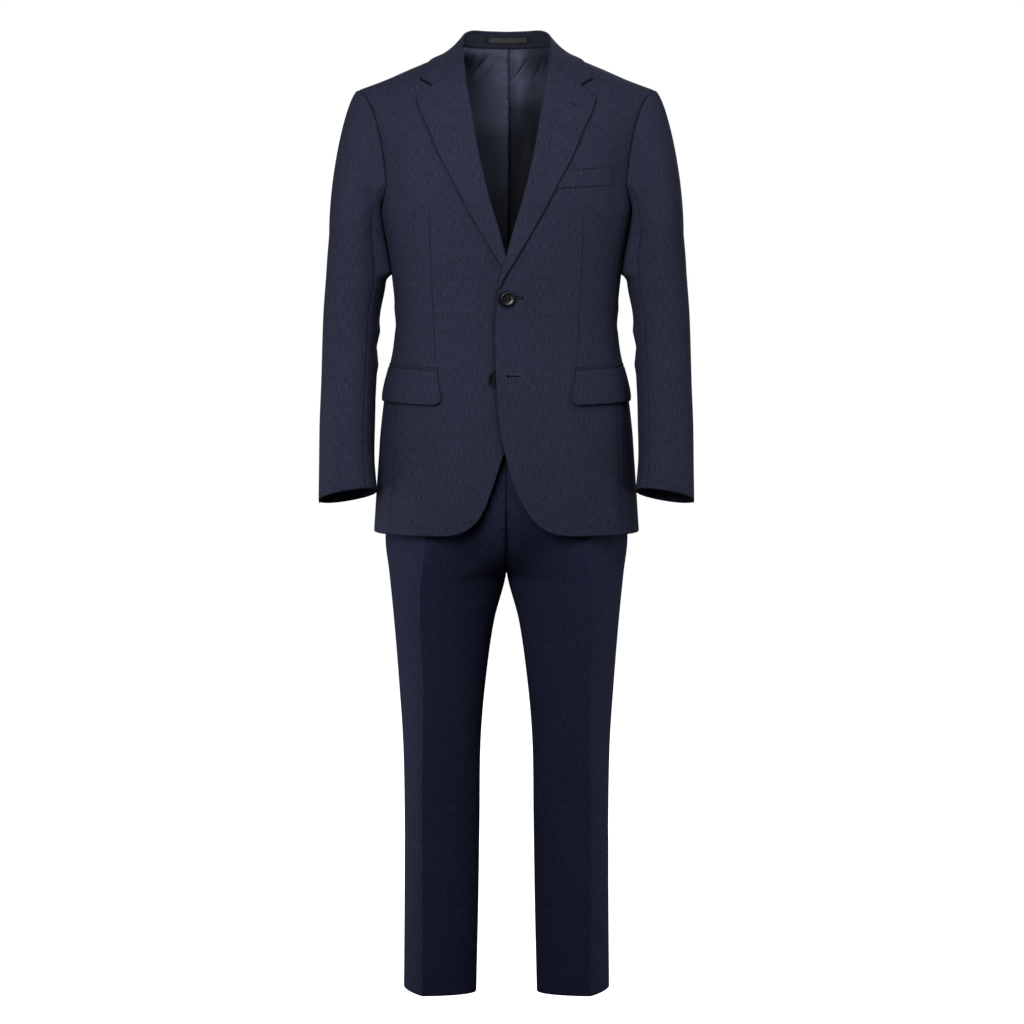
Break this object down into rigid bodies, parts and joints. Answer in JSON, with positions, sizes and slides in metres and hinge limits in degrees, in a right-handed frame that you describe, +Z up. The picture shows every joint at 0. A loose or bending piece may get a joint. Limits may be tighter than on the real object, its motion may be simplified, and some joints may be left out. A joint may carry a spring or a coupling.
{
  "type": "two-piece suit",
  "caption": "Two-piece suit filled out as if worn: single-breasted notch-lapel jacket with flap pockets and breast welt, over straight creased trousers.",
  "frame": {"origin": "middle of the neck, level with the shoulder line where the jacket's shoulders meet the collar: where the wearer's shoulders hold the suit up", "axes": "+X to the wearer's left, +Y to the wearer's back, +Z up"},
  "size_m": [0.576, 0.2741, 1.4757],
  "materials": {
    "jacket_cloth": "matt fine-weave wool, dark navy",
    "trouser_cloth": "matt fine-weave wool, dark navy",
    "lining_satin": "satin lining",
    "label_cloth": "woven tape, bare",
    "button_horn": "polished dark horn"
  },
  "bodies": {
    "root": {"jacket_front_left": "jacket_cloth", "jacket_front_right": "jacket_cloth", "jacket_side_body_left": "jacket_cloth", "jacket_side_body_right": "jacket_cloth", "jacket_back_left": "jacket_cloth", "jacket_back_right": "jacket_cloth", "back_lining_left": "lining_satin", "back_lining_right": "lining_satin", "lapel_left": "jacket_cloth", "lapel_right": "jacket_cloth", "top_sleeve_left": "jacket_cloth", "top_sleeve_right": "jacket_cloth", "under_sleeve_left": "jacket_cloth", "under_sleeve_right": "jacket_cloth", "hip_flap_left": "jacket_cloth", "hip_flap_right": "jacket_cloth", "hip_jet_left": "jacket_cloth", "hip_jet_right": "jacket_cloth", "trouser_front_left": "trouser_cloth", "trouser_front_right": "trouser_cloth", "trouser_back_left": "trouser_cloth", "trouser_back_right": "trouser_cloth", "waistband_left": "trouser_cloth", "waistband_right": "trouser_cloth", "collar_fall": "jacket_cloth", "collar_stand": "jacket_cloth", "neck_label": "label_cloth", "breast_welt": "jacket_cloth", "front_button_top": "button_horn", "front_button_lower": "button_horn"}
  },
  "joints": []
}
